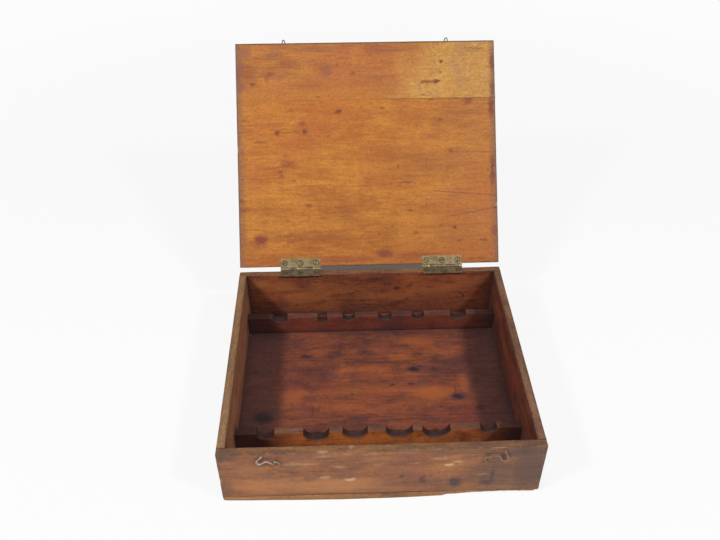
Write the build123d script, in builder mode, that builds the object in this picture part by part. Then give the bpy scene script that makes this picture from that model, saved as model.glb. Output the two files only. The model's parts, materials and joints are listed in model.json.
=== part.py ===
from build123d import *
import os
from math import acos, asin, atan2, cos, degrees, hypot, radians, sin, sqrt

os.makedirs("parts", exist_ok=True)

# Shallow wooden tool chest with a hinged lid, two notched tool racks and two wire hooks.
# Origin at the centre of the underside, +X to the right, +Y to the back, +Z up, millimetres.
# The lid stands open, as it was photographed.

# Chest
chest_width = 325.0
chest_depth = 280.0
chest_height = 75.0
front_wall_thickness = 9.0
rear_wall_thickness = 8.0
side_wall_thickness = 9.0
bottom_thickness = 7.0
front_bottom_board_depth = 100.0
outer_edge_round = 1.0

# Lid
lid_thickness = 9.0
front_lid_board_depth = 72.0
lid_gap = 0.3
lid_open_angle = 129.2

# Tool racks: each notch is its place along the rack as a share of the length, its width and its depth
rack_thickness = 9.5
rack_height = 25.5
front_rack_setback = 50.0
rear_rack_setback = 23.0
front_rack_notches = [
    (0.106, 18.8, 9.5),
    (0.283, 27.6, 13.0),
    (0.418, 27.3, 10.5),
    (0.572, 29.3, 11.5),
    (0.702, 30.1, 13.0),
    (0.884, 18.1, 7.5),
]
rear_rack_notches = [
    (0.130, 18.5, 7.5),
    (0.301, 11.0, 8.0),
    (0.409, 15.0, 7.0),
    (0.556, 16.0, 7.5),
    (0.690, 15.0, 7.0),
    (0.855, 20.0, 8.0),
]
notch_edge_round = 1.0

# Butt hinges
hinge_length = 50.0
hinge_leaf_depth = 10.5
hinge_leaf_thickness = 1.2
hinge_knuckles = 5
knuckle_radius = 2.5
knuckle_gap = 0.3
hinge_pin_radius = 1.2
hinge_pin_clearance = 0.05
hinge_pin_setback = 2.9
left_hinge_inset = 50.7
right_hinge_inset = 47.0

# Hinge screws
screw_head_radius = 3.2
screw_shank_radius = 1.4
screw_point_length = 2.0
screw_slot_width = 0.9
screw_slot_depth = 0.7
screw_inset = 4.6
screw_spacing = 19.5
chest_screw_length = 12.0
lid_screw_length = 7.0
left_chest_slots = [15, 80, -10]
left_lid_slots = [35, -50, 70]
right_chest_slots = [-20, 65, 30]
right_lid_slots = [-40, 10, 85]

# Nails
nail_head_radius = 1.1
nail_head_thickness = 0.9
nail_shank_radius = 0.7
nail_point_length = 2.4
nail_length = 25.0
wall_nails_per_corner = 3
wall_nail_margin = 12.0
bottom_row_nails = 4
bottom_row_margin = 24.0
front_board_side_nails = 2
rear_board_side_nails = 3
front_side_nail_margin = 35.0
rear_side_nail_margin = 50.0
seam_nail_margin = 16.0
rack_nail_spacing = 11.0

# Wire hooks and their pivots: each outline runs from the tip to the last bend before the eye, as
# shares of the reach, which is the distance from the pivot to the staple, and degrees above level
hook_wire_radius = 0.7
hook_stand_off = 1.9
hook_pivot_inset = 58.5
hook_eye_radius = 2.5
hook_eye_angle = 270.0
left_hook_reach = 17.5
left_hook_outline = [(1.00, 40.0), (1.127, 10.5), (1.04, -8.2), (0.598, 19.0)]
left_hook_bends = [2.6, 2.4, 3.0]
right_hook_reach = 19.7
right_hook_outline = [(1.043, 38.9), (1.135, -11.6), (0.82, -15.0), (0.615, 22.3)]
right_hook_bends = [2.4, 2.4, 3.0]
pivot_shank_radius = 1.2
pivot_head_radius = 2.1
pivot_head_height = 1.2
pivot_depth = 8.0
pivot_clearance = 0.3

# Wire staples in the lid's front edge, their legs on a slant to the lid's faces
staple_inset = 60.3
staple_wire_radius = 0.6
staple_spacing = 6.0
staple_stand_out = 5.3
staple_leg_depth = 10.0
staple_slant_angle = 60.0

# Places that several pieces share
front_face = -chest_depth / 2
rear_face = chest_depth / 2
side_face = chest_width / 2
inner_front = front_face + front_wall_thickness
inner_rear = rear_face - rear_wall_thickness
inner_side = side_face - side_wall_thickness
inner_width = 2 * inner_side
wall_height = chest_height - bottom_thickness
side_wall_centre = side_face - side_wall_thickness / 2
bottom_seam = front_face + front_bottom_board_depth
front_rack_front = inner_front + front_rack_setback
rear_rack_front = inner_rear - rear_rack_setback - rack_thickness
lid_underside = chest_height + lid_gap
lid_seam = front_face + front_lid_board_depth
left_hinge_x = left_hinge_inset + hinge_length / 2 - side_face
right_hinge_x = side_face - right_hinge_inset - hinge_length / 2
hook_pivot_x = side_face - hook_pivot_inset
staple_x = side_face - staple_inset
pin_y = rear_face + hinge_pin_setback
pin_z = chest_height + lid_gap / 2
staple_z = lid_underside + lid_thickness / 2
cut_margin = 1.0

# The open lid is the closed lid swung back about the hinge pins.
pin_line = Location((0, pin_y, pin_z))
lid_swing = pin_line * Location((0, 0, 0), (-lid_open_angle, 0, 0)) * pin_line.inverse()


def opened(place):
    """Carry a place on the closed lid to the open lid."""
    return Plane(lid_swing * place.location)


def driven(point, inward):
    """Place of a nail or screw with its head at the point and its tip the inward way."""
    return Plane(origin=point, z_dir=Vector(*inward) * -1)


def spread(count, first, last):
    """Evenly spaced positions from first to last."""
    return [first + (last - first) * step / (count - 1) for step in range(count)]


def polar(radius, angle):
    """Point at a radius and an angle in degrees."""
    return radius * cos(radians(angle)), radius * sin(radians(angle))


def finish(piece, name):
    """Label a finished piece and write it."""
    piece.part.label = name
    export_step(piece.part, f"parts/{name}.step")


# Fasteners, each with its head's face at the origin and its tip down -Z

with BuildPart() as nail:
    with BuildSketch(Plane.XZ):
        with BuildLine():
            Polyline(
                (0, 0),
                (nail_head_radius, 0),
                (nail_head_radius, -nail_head_thickness),
                (nail_shank_radius, -nail_head_thickness),
                (nail_shank_radius, nail_point_length - nail_length),
                (0, -nail_length),
                close=True,
            )
        make_face()
    revolve(axis=Axis.Z)


def screw_blank(length):
    """Countersunk screw without its slot, which is also the shape of its hole."""
    with BuildPart() as blank:
        with BuildSketch(Plane.XZ):
            with BuildLine():
                Polyline(
                    (0, 0),
                    (screw_head_radius, 0),
                    (screw_shank_radius, screw_shank_radius - screw_head_radius),
                    (screw_shank_radius, screw_point_length - length),
                    (0, -length),
                    close=True,
                )
            make_face()
        revolve(axis=Axis.Z)
    return blank.part


def slotted_screw(length):
    """Countersunk screw with its slot along X."""
    with BuildPart() as screw:
        add(screw_blank(length))
        Box(
            2 * screw_head_radius,
            screw_slot_width,
            screw_slot_depth,
            align=(Align.CENTER, Align.CENTER, Align.MAX),
            mode=Mode.SUBTRACT,
        )
    return screw.part


chest_screw_blank = screw_blank(chest_screw_length)
chest_screw = slotted_screw(chest_screw_length)
lid_screw_blank = screw_blank(lid_screw_length)
lid_screw = slotted_screw(lid_screw_length)

# Where the nails go

wall_nail_heights = spread(
    wall_nails_per_corner, bottom_thickness + wall_nail_margin, chest_height - wall_nail_margin
)
front_nail_places = [
    driven((side * side_wall_centre, front_face, height), (0, 1, 0))
    for side in (-1, 1)
    for height in wall_nail_heights
]
rear_nail_places = [
    driven((side * side_wall_centre, rear_face, height), (0, -1, 0))
    for side in (-1, 1)
    for height in wall_nail_heights
]

row_nail_x = spread(bottom_row_nails, bottom_row_margin - side_face, side_face - bottom_row_margin)
front_side_nail_y = spread(
    front_board_side_nails, front_face + front_side_nail_margin, bottom_seam - seam_nail_margin
)
rear_side_nail_y = spread(
    rear_board_side_nails, bottom_seam + seam_nail_margin, rear_face - rear_side_nail_margin
)
bottom_nail_points = [(x, front_face + front_wall_thickness / 2, 0) for x in row_nail_x]
bottom_nail_points += [(x, rear_face - rear_wall_thickness / 2, 0) for x in row_nail_x]
bottom_nail_points += [
    (side * side_wall_centre, y, 0) for side in (-1, 1) for y in front_side_nail_y + rear_side_nail_y
]
bottom_nail_places = [driven(point, (0, 0, 1)) for point in bottom_nail_points]


def rack_nail_places(rack_front):
    """Nails through both side walls into the ends of a rack."""
    middle = bottom_thickness + rack_height / 2
    return [
        driven((side * side_face, rack_front + rack_thickness / 2, middle + rise), (-side, 0, 0))
        for side in (-1, 1)
        for rise in (-rack_nail_spacing / 2, rack_nail_spacing / 2)
    ]


front_rack_nail_places = rack_nail_places(front_rack_front)
rear_rack_nail_places = rack_nail_places(rear_rack_front)


def cut_nails(places):
    """Cut the holes of nails out of the piece that is being built."""
    with Locations(*places):
        add(nail.part, mode=Mode.SUBTRACT)


# Hinges

screw_points = [(step * screw_spacing, rear_face - screw_inset) for step in (-1, 0, 1)]


def chest_screw_places(hinge_x, slots):
    """Screws down through the chest leaf, each with its slot turned its own way."""
    return [
        Location((hinge_x + x, y, chest_height), (0, 0, slot))
        for (x, y), slot in zip(screw_points, slots)
    ]


def lid_screw_places(hinge_x, slots):
    """Screws up through the lid leaf, on the open lid."""
    return [
        lid_swing * Location((hinge_x + x, y, lid_underside), (180, 0, slot))
        for (x, y), slot in zip(screw_points, slots)
    ]


def hinge_leaf(hinge_x, plate_middle, own_knuckles, place):
    """Leaf with its share of the knuckles; place carries closed planes to where the leaf is."""
    pitch = hinge_length / hinge_knuckles
    plate_edge = pin_y - knuckle_radius - knuckle_gap
    plate_start = rear_face - hinge_leaf_depth
    with BuildPart() as leaf:
        with BuildSketch(place(Plane.XY.offset(plate_middle - hinge_leaf_thickness / 2))):
            with Locations((hinge_x, (plate_start + plate_edge) / 2)):
                Rectangle(hinge_length, plate_edge - plate_start)
            for index in own_knuckles:
                middle = hinge_x + pitch * (index - (hinge_knuckles - 1) / 2)
                with Locations((middle, (plate_start + pin_y) / 2)):
                    Rectangle(pitch - knuckle_gap, pin_y - plate_start)
        extrude(amount=hinge_leaf_thickness)
        for index in own_knuckles:
            start = hinge_x + pitch * (index - hinge_knuckles / 2) + knuckle_gap / 2
            with BuildSketch(place(Plane.YZ.offset(start))):
                with Locations((pin_y, pin_z)):
                    Circle(knuckle_radius)
            extrude(amount=pitch - knuckle_gap)
        with BuildSketch(place(Plane.YZ.offset(hinge_x - hinge_length / 2))):
            with Locations((pin_y, pin_z)):
                Circle(hinge_pin_radius + hinge_pin_clearance)
        extrude(amount=hinge_length, mode=Mode.SUBTRACT)
    return leaf


def in_place(plane):
    """Planes of pieces that stay with the chest."""
    return plane


def butt_hinge(side_name, hinge_x, chest_slots, lid_slots):
    """Both leaves, the pin and the screws of one hinge."""
    chest_knuckles = range(1, hinge_knuckles, 2)
    lid_knuckles = range(0, hinge_knuckles, 2)

    chest_plate_middle = chest_height - hinge_leaf_thickness / 2
    with BuildPart() as chest_leaf:
        add(hinge_leaf(hinge_x, chest_plate_middle, chest_knuckles, in_place).part)
        with Locations(*chest_screw_places(hinge_x, chest_slots)):
            add(chest_screw_blank, mode=Mode.SUBTRACT)
    finish(chest_leaf, f"{side_name}_hinge_chest_leaf")

    lid_plate_middle = lid_underside + hinge_leaf_thickness / 2
    with BuildPart() as lid_leaf:
        add(hinge_leaf(hinge_x, lid_plate_middle, lid_knuckles, opened).part)
        with Locations(*lid_screw_places(hinge_x, lid_slots)):
            add(lid_screw_blank, mode=Mode.SUBTRACT)
    finish(lid_leaf, f"{side_name}_hinge_lid_leaf")

    with BuildPart() as pin:
        with BuildSketch(Plane.YZ.offset(hinge_x - hinge_length / 2)):
            with Locations((pin_y, pin_z)):
                Circle(hinge_pin_radius)
        extrude(amount=hinge_length)
    finish(pin, f"{side_name}_hinge_pin")

    with BuildPart() as chest_screws:
        with Locations(*chest_screw_places(hinge_x, chest_slots)):
            add(chest_screw)
    finish(chest_screws, f"{side_name}_hinge_chest_screws")

    with BuildPart() as lid_screws:
        with Locations(*lid_screw_places(hinge_x, lid_slots)):
            add(lid_screw)
    finish(lid_screws, f"{side_name}_hinge_lid_screws")


butt_hinge("left", left_hinge_x, left_chest_slots, left_lid_slots)
butt_hinge("right", right_hinge_x, right_chest_slots, right_lid_slots)

# Hooks: each pivot sits as far under the staple of the closed lid as its hook reaches


def pivot_height(reach):
    """Height of a hook's pivot above the ground."""
    return staple_z - sqrt(reach**2 - (hook_pivot_x - staple_x) ** 2)


def hook_pivot(side, reach):
    """Round-headed nail that holds the eye of a hook."""
    head_start = hook_stand_off + hook_wire_radius + pivot_clearance
    dome_radius = (pivot_head_radius**2 + pivot_head_height**2) / (2 * pivot_head_height)
    dome_middle = degrees(asin(pivot_head_radius / dome_radius)) / 2
    across, along = polar(dome_radius, 90 - dome_middle)
    dome_top = head_start + pivot_head_height
    origin = (side * hook_pivot_x, front_face, pivot_height(reach))
    with BuildPart() as pivot:
        with BuildSketch(Plane(origin, x_dir=(1, 0, 0), z_dir=(0, 0, -1))):
            with BuildLine():
                Polyline(
                    (pivot_head_radius, head_start),
                    (pivot_shank_radius, head_start),
                    (pivot_shank_radius, pivot_shank_radius - pivot_depth),
                    (0, -pivot_depth),
                    (0, dome_top),
                )
                ThreePointArc(
                    (0, dome_top), (across, dome_top - dome_radius + along), (pivot_head_radius, head_start)
                )
            make_face()
        revolve(axis=Axis(origin, (0, 1, 0)))
    return pivot


def wire_hook(side, reach, outline, bends, eye_from_below):
    """Hand-bent wire hook, its eye round the pivot and its tip turned up."""
    height = pivot_height(reach)

    def on_face(point):
        return side * (hook_pivot_x + point[0]), height + point[1]

    corners = [polar(share * reach, angle) for share, angle in outline]
    last = corners[-1]
    turn = -1 if eye_from_below else 1
    touch = degrees(atan2(last[1], last[0])) + turn * degrees(acos(hook_eye_radius / hypot(*last)))
    eye = [polar(hook_eye_radius, touch + turn * hook_eye_angle * share) for share in (0, 0.5, 1)]
    with BuildPart() as hook:
        with BuildLine(Plane.XZ.offset(hook_stand_off - front_face)) as centreline:
            FilletPolyline(*[on_face(corner) for corner in corners + eye[:1]], radius=bends)
            ThreePointArc(*[on_face(point) for point in eye])
        with BuildSketch(Plane(origin=centreline.line @ 0, z_dir=centreline.line % 0)):
            Circle(hook_wire_radius)
        sweep()
    return hook


left_hook_pivot = hook_pivot(-1, left_hook_reach)
finish(left_hook_pivot, "left_hook_pivot")
right_hook_pivot = hook_pivot(1, right_hook_reach)
finish(right_hook_pivot, "right_hook_pivot")
finish(wire_hook(-1, left_hook_reach, left_hook_outline, left_hook_bends, True), "left_hook")
finish(wire_hook(1, right_hook_reach, right_hook_outline, right_hook_bends, False), "right_hook")


def lid_staple(side):
    """Wire staple driven into the front edge of the lid."""
    slant = radians(staple_slant_angle)
    face = Plane(
        origin=(side * staple_x, front_face, staple_z),
        x_dir=(-side * cos(slant), 0, sin(slant)),
        z_dir=(-sin(slant), 0, -side * cos(slant)),
    )
    leg = staple_spacing / 2
    bend_start = -(staple_stand_out - staple_wire_radius - leg)
    with BuildPart() as staple:
        with BuildLine(opened(face)) as centreline:
            Line((-leg, staple_leg_depth), (-leg, bend_start))
            ThreePointArc((-leg, bend_start), (0, bend_start - leg), (leg, bend_start))
            Line((leg, bend_start), (leg, staple_leg_depth))
        with BuildSketch(Plane(origin=centreline.line @ 0, z_dir=centreline.line % 0)):
            Circle(staple_wire_radius)
        sweep()
    return staple


left_lid_staple = lid_staple(-1)
finish(left_lid_staple, "left_lid_staple")
right_lid_staple = lid_staple(1)
finish(right_lid_staple, "right_lid_staple")

# Walls

with BuildPart() as front_wall:
    with BuildSketch(Plane.XY.offset(bottom_thickness)):
        with Locations((0, front_face + front_wall_thickness / 2)):
            Rectangle(chest_width, front_wall_thickness)
    extrude(amount=wall_height)
    front_edges = front_wall.faces().sort_by(Axis.Y)[0].edges()
    fillet(front_edges - front_edges.group_by(Axis.Z)[0], outer_edge_round)
    cut_nails(front_nail_places + bottom_nail_places)
    add(left_hook_pivot.part, mode=Mode.SUBTRACT)
    add(right_hook_pivot.part, mode=Mode.SUBTRACT)
finish(front_wall, "front_wall")

with BuildPart() as rear_wall:
    with BuildSketch(Plane.XY.offset(bottom_thickness)):
        with Locations((0, rear_face - rear_wall_thickness / 2)):
            Rectangle(chest_width, rear_wall_thickness)
    extrude(amount=wall_height)
    rear_edges = rear_wall.faces().sort_by(Axis.Y)[-1].edges()
    fillet(rear_edges - rear_edges.group_by(Axis.Z)[0], outer_edge_round)
    cut_nails(rear_nail_places + bottom_nail_places)
    with BuildSketch(Plane.XY.offset(chest_height - hinge_leaf_thickness)):
        for hinge_x in (left_hinge_x, right_hinge_x):
            with Locations((hinge_x, rear_face - rear_wall_thickness / 2)):
                Rectangle(hinge_length, rear_wall_thickness)
    extrude(amount=hinge_leaf_thickness, mode=Mode.SUBTRACT)
    for hinge_x, slots in ((left_hinge_x, left_chest_slots), (right_hinge_x, right_chest_slots)):
        with Locations(*chest_screw_places(hinge_x, slots)):
            add(chest_screw_blank, mode=Mode.SUBTRACT)
finish(rear_wall, "rear_wall")


def side_wall(side):
    """Side wall, butted between the front and rear walls."""
    with BuildPart() as wall:
        with BuildSketch(Plane.XY.offset(bottom_thickness)):
            with Locations((side * side_wall_centre, (inner_front + inner_rear) / 2)):
                Rectangle(side_wall_thickness, inner_rear - inner_front)
        extrude(amount=wall_height)
        outer = wall.faces().sort_by(Axis.X)[-1 if side > 0 else 0]
        fillet(outer.edges().sort_by(Axis.Z)[-1], outer_edge_round)
        cut_nails(front_nail_places + rear_nail_places + bottom_nail_places)
        cut_nails(front_rack_nail_places + rear_rack_nail_places)
    return wall


finish(side_wall(-1), "left_wall")
finish(side_wall(1), "right_wall")

# Bottom boards


def bottom_board(start, end):
    """Bottom board across the chest, from start to end along Y."""
    with BuildPart() as board:
        with BuildSketch():
            with Locations((0, (start + end) / 2)):
                Rectangle(chest_width, end - start)
        extrude(amount=bottom_thickness)
        cut_nails(bottom_nail_places)
    return board


finish(bottom_board(front_face, bottom_seam), "bottom_board_front")
finish(bottom_board(bottom_seam, rear_face), "bottom_board_rear")

# Tool racks


def tool_rack(rack_front, notches, nail_places):
    """Cross board that stands on the bottom, its top edge notched for tools."""
    top = bottom_thickness + rack_height
    with BuildPart() as rack:
        with BuildSketch(Plane.XZ.offset(-rack_front)):
            with Locations((0, bottom_thickness + rack_height / 2)):
                Rectangle(inner_width, rack_height)
            for share, width, depth in notches:
                middle = inner_width * (share - 0.5)
                half = width / 2
                shoulder = top - max(depth - half, 0)
                with BuildLine():
                    Polyline(
                        (middle - half, shoulder),
                        (middle - half, top + cut_margin),
                        (middle + half, top + cut_margin),
                        (middle + half, shoulder),
                    )
                    ThreePointArc(
                        (middle + half, shoulder), (middle, top - depth), (middle - half, shoulder)
                    )
                make_face(mode=Mode.SUBTRACT)
        extrude(amount=-rack_thickness)
        mouths = rack.edges().filter_by(Axis.Y).group_by(Axis.Z)[-1].sort_by(Axis.X)[1:-1]
        fillet(mouths, notch_edge_round)
        cut_nails(nail_places)
    return rack


finish(tool_rack(front_rack_front, front_rack_notches, front_rack_nail_places), "front_tool_rack")
finish(tool_rack(rear_rack_front, rear_rack_notches, rear_rack_nail_places), "rear_tool_rack")

# Lid boards, glued edge to edge


def lid_board(start, end):
    """Blank of a lid board, from start to end along Y of the closed lid."""
    with BuildPart() as board:
        with BuildSketch(opened(Plane.XY.offset(lid_underside))):
            with Locations((0, (start + end) / 2)):
                Rectangle(chest_width, end - start)
        extrude(amount=lid_thickness)
    return board.part


with BuildPart() as lid_front_board:
    add(lid_board(front_face, lid_seam))
    add(left_lid_staple.part, mode=Mode.SUBTRACT)
    add(right_lid_staple.part, mode=Mode.SUBTRACT)
finish(lid_front_board, "lid_front_board")

with BuildPart() as lid_rear_board:
    add(lid_board(lid_seam, rear_face))
    with BuildSketch(opened(Plane.XY.offset(lid_underside))):
        for hinge_x in (left_hinge_x, right_hinge_x):
            with Locations((hinge_x, rear_face - hinge_leaf_depth / 2)):
                Rectangle(hinge_length, hinge_leaf_depth)
    extrude(amount=hinge_leaf_thickness, mode=Mode.SUBTRACT)
    for hinge_x, slots in ((left_hinge_x, left_lid_slots), (right_hinge_x, right_lid_slots)):
        with Locations(*lid_screw_places(hinge_x, slots)):
            add(lid_screw_blank, mode=Mode.SUBTRACT)
finish(lid_rear_board, "lid_rear_board")

# Nails, identical ones together

nail_groups = {
    "front_wall_nails": front_nail_places,
    "rear_wall_nails": rear_nail_places,
    "bottom_nails": bottom_nail_places,
    "front_rack_nails": front_rack_nail_places,
    "rear_rack_nails": rear_rack_nail_places,
}
for name, places in nail_groups.items():
    with BuildPart() as nails:
        with Locations(*places):
            add(nail.part)
    finish(nails, name)
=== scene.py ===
import json
import math
from functools import partialmethod, reduce

import bpy
import numpy as np
from mathutils import Matrix, Vector, noise


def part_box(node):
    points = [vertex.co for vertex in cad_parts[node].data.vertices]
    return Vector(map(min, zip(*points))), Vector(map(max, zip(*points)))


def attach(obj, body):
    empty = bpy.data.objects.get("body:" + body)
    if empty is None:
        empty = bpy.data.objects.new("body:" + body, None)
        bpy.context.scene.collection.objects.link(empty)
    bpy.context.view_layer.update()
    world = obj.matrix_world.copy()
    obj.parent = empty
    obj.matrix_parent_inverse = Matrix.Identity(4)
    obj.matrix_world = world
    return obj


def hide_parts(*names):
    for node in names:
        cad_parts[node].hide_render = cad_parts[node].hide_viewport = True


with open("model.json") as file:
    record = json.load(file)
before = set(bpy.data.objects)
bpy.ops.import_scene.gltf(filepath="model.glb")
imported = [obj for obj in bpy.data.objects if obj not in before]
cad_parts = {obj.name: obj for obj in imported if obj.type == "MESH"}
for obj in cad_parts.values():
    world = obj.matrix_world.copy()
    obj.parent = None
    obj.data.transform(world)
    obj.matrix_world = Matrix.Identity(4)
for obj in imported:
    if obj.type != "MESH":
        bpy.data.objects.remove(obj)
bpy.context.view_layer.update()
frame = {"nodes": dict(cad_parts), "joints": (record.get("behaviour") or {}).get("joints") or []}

# Old wooden tool chest, its lid open. Meshes are in metres in the frame of the chest, marks in mm.
# Boards are rebuilt as worn, chipped meshes; metal pieces keep their solids, the brass with soft edges.

MM = 0.001


# Places from the frame

nodes = frame["nodes"]
lid_joint = next(joint for joint in frame["joints"] if joint["name"] == "lid_hinge")
lid_pivot = Matrix.Translation(Vector(lid_joint["pos_m"]))
closing_turn = Matrix.Rotation(math.radians(lid_joint["range_deg"][0]), 4, Vector(lid_joint["axis"]))
lid_open = (lid_pivot @ closing_turn @ lid_pivot.inverted()).inverted()
chest_place = Matrix.Identity(4)


def node_points(node, place):
    """Points of a node's mesh in the frame of its board, which for the lid is closed."""
    back = place.inverted()
    return np.array([back @ vertex.co for vertex in nodes[node].data.vertices])


def board_box(node, place=chest_place):
    """Lowest and highest corner of a node in the frame of its board."""
    points = node_points(node, place)
    return points.min(0), points.max(0)


chest_low = np.array([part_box("front_wall")[0].x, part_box("front_wall")[0].y, 0.0])
chest_high = np.array([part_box("front_wall")[1].x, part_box("rear_wall")[1].y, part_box("rear_wall")[1].z])
floor_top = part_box("bottom_board_front")[1].z
inner_low = np.array([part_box("left_wall")[1].x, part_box("front_wall")[1].y, floor_top])
inner_high = np.array([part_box("right_wall")[0].x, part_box("rear_wall")[0].y, chest_high[2]])
front_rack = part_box("front_tool_rack")
rear_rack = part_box("rear_tool_rack")
rack_top = front_rack[1].z
lid_low, lid_high = board_box("lid_rear_board", lid_open)
lid_low[1] = board_box("lid_front_board", lid_open)[0][1]


# Grids and worn surfaces

def graded(low, high, spacing, ends, extra=()):
    """Grid lines from low to high, close together near both ends and at the extra places."""
    near = [low, high] + [low + step for step in ends] + [high - step for step in ends]
    near += [place for place in extra if low < place < high]
    first, last = low + ends[-1], high - ends[-1]
    count = max(2, round((last - first) / spacing) + 1)
    lines = sorted(near)
    least = 0.4 * min(spacing, ends[-1] - ends[-2])
    for line in np.linspace(first, last, count):
        if min(abs(line - place) for place in near) > least:
            lines.append(line)
    return np.array(sorted(set(lines)))


def block(lines):
    """Points and outward faces of the surface of a block on grid lines along its three axes."""
    counts = [len(line) for line in lines]
    shell = np.zeros(counts, bool)
    for axis in range(3):
        for end in (0, -1):
            shell[(slice(None),) * axis + (end,)] = True
    index = np.full(counts, -1)
    index[shell] = np.arange(shell.sum())
    points = np.stack(np.meshgrid(*lines, indexing="ij"), -1)[shell]
    faces = []
    for axis in range(3):
        for end in (0, -1):
            sheet = index.take(end, axis)
            quads = np.stack((sheet[:-1, :-1], sheet[1:, :-1], sheet[1:, 1:], sheet[:-1, 1:]), -1)
            quads = quads.reshape(-1, 4)
            if (end == 0) != (axis == 1):
                quads = quads[:, ::-1]
            faces.append(quads)
    return points, np.concatenate(faces)


def wobble(points, size, seed):
    """Smooth noise from about -1 to 1 at each point, with bumps of the given size."""
    offset = Vector((7.3 * seed, 3.1 * seed, 5.7 * seed))
    return np.array([noise.noise(Vector(point) / size + offset) for point in points])


def rounded(points, low, high, radius):
    """Points of a block with its edges rounded, and the outward direction at each."""
    radius = np.asarray(radius).reshape(-1, 1)
    core = np.clip(points, low + radius, high - radius)
    away = points - core
    length = np.maximum(np.linalg.norm(away, axis=1, keepdims=True), 1e-9)
    return core + away / length * radius, away / length


def bitten(points, bites, grain, seed):
    """Points with chips split out along the grain, and how raw the wood is at each.

    Each chip is its centre, its radii in mm and how ragged it is.
    """
    raw = np.zeros(len(points))
    others = [axis for axis in range(3) if axis != grain]
    noisy = wobble(points, 3 * MM, seed) if bites else 0
    for centre, radii, rough in bites:
        ragged = 1 + rough * noisy
        share = (points - np.array(centre)) / (np.array(radii) * MM)
        room = np.sqrt(np.maximum(1 - share[:, grain] ** 2, 0)) * ragged
        reach = np.linalg.norm(share[:, others], axis=1)
        inside = (reach < room) & (reach > 1e-6)
        push = np.where(inside, room / np.maximum(reach, 1e-6), 1)
        for axis in others:
            points[:, axis] = centre[axis] + (points[:, axis] - centre[axis]) * push
        rawness = np.clip(3 * (1 - reach / np.maximum(room, 1e-6)), 0, 1)
        raw = np.maximum(raw, np.where(inside, rawness, 0))
    return raw


def from_face(points, low, high, axis, side):
    """Distance of each point of a block from its low face (side 0) or its high face (side 1)."""
    return high[axis] - points[:, axis] if side else points[:, axis] - low[axis]


def edge_distance(points, low, high):
    """Distance along the surface of a block from each of its points to the nearest edge."""
    gaps = np.concatenate((points - low, high - points), axis=1)
    return np.sort(gaps, axis=1)[:, 1]


def corner_grime_and_shade(points):
    """How near each point of the chest's inside is to a corner, from 0 to 1, for dirt and painted shade
    there.
    """
    far_off = 1.0
    gaps = [
        inner_high[0] - np.abs(points[:, 0]),
        points[:, 1] - inner_low[1],
        inner_high[1] - points[:, 1],
        points[:, 2] - inner_low[2],
    ]
    low_down = points[:, 2] < rack_top + 1 * MM
    for rack in (front_rack, rear_rack):
        beside = np.maximum(rack[0].y - points[:, 1], points[:, 1] - rack[1].y)
        gaps.append(np.where(low_down, beside, far_off))
    nearest = np.sort(np.abs(np.stack(gaps)), axis=0)[1]
    return np.exp(-nearest / (9 * MM))


def link_object(name, data):
    """New object in the scene."""
    made = bpy.data.objects.new(name, data)
    bpy.context.scene.collection.objects.link(made)
    return made


def make_piece(name, points, faces, place, body, values, smooth_angle=40):
    """Mesh object on its body, with its points carried from the board's frame to their place."""
    mesh = bpy.data.meshes.new(name)
    mesh.from_pydata([place @ Vector(point) for point in points], [], faces.tolist())
    for key, value in values.items():
        kind = "FLOAT_VECTOR" if np.ndim(value) == 2 else "FLOAT"
        field = "vector" if kind == "FLOAT_VECTOR" else "value"
        layer = mesh.attributes.new(key, kind, "POINT")
        layer.data.foreach_set(field, np.asarray(value, np.float32).ravel())
    mesh.validate()
    mesh.shade_smooth()
    mesh.set_sharp_from_angle(angle=math.radians(smooth_angle))
    piece = link_object(name, mesh)
    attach(piece, body)
    return piece


board_ends = [0.25 * MM, 0.6 * MM, 1.1 * MM, 1.8 * MM, 2.8 * MM, 4.2 * MM]
thickness_ends = board_ends[:-1]
nail_rings = [-2.6, -1.7, -0.9, 0.9, 1.7, 2.6]
recess_step = 0.05 * MM
on_surface = 1e-6


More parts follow.
